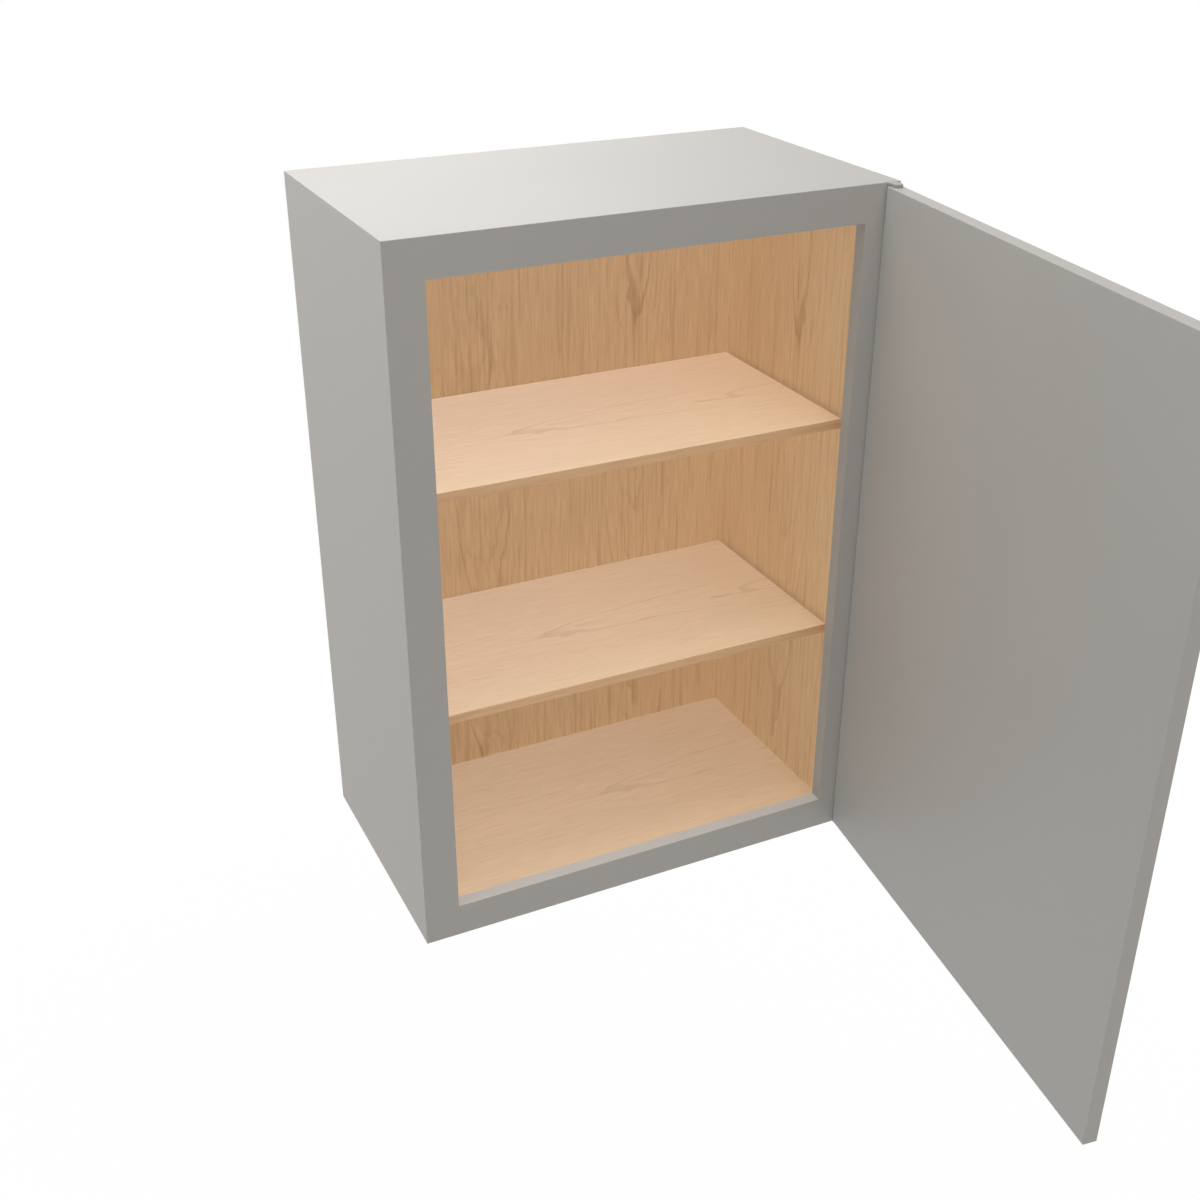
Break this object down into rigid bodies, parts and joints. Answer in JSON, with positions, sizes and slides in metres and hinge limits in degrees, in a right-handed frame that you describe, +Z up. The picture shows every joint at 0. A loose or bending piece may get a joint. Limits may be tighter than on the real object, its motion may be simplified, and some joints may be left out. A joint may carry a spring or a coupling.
{
  "type": "wall cabinet",
  "caption": "Face-frame wall cabinet with a flat painted door on pivot hinges, maple-veneered inside and shelves on support pins.",
  "frame": {"origin": "on the wall plane, midway between the two wall-screw holes of the upper hanging rail", "axes": "+Z up, +X to the right as one faces the door, +Y into the wall"},
  "size_m": [0.5334, 0.8305, 0.762],
  "materials": {
    "greige_paint": "satin greige paint on wood",
    "case_board": "plywood with maple veneer inside and satin greige paint outside",
    "maple_veneer": "clear satin lacquer on maple veneer",
    "maple_edge_band": "clear satin lacquer on maple edge band",
    "plain_wood": "bare planed wood",
    "painted_steel": "satin greige paint on steel",
    "nickel_steel": "nickel-plated steel",
    "nylon": "natural nylon"
  },
  "bodies": {
    "cabinet": {"left_side_panel": "case_board", "right_side_panel": "case_board", "top_panel": "case_board", "bottom_panel": "case_board", "back_panel": "maple_veneer", "upper_hanging_rail": "plain_wood", "lower_hanging_rail": "plain_wood", "left_stile": "greige_paint", "right_stile": "greige_paint", "top_rail": "greige_paint", "bottom_rail": "greige_paint", "frame_dowels": "plain_wood", "frame_to_case_dowels": "plain_wood", "case_dowels": "plain_wood", "hanging_rail_dowels": "plain_wood", "upper_shelf": "maple_veneer", "lower_shelf": "maple_veneer", "upper_shelf_edge": "maple_edge_band", "lower_shelf_edge": "maple_edge_band", "upper_shelf_supports": "nickel_steel", "lower_shelf_supports": "nickel_steel", "top_hinge_bracket": "painted_steel", "bottom_hinge_bracket": "painted_steel", "top_hinge_pin": "nickel_steel", "bottom_hinge_pin": "nickel_steel", "hinge_screws": "painted_steel"},
    "door": {"door_slab": "greige_paint", "top_hinge_bush": "nylon", "bottom_hinge_bush": "nylon"}
  },
  "joints": [
    {"name": "door_swing", "type": "hinge", "parent": "cabinet", "child": "door", "pos_m": [0.2555, -0.3153, 0], "axis": [0, 0, 1], "range_deg": [-82.3, 27.7]}
  ]
}
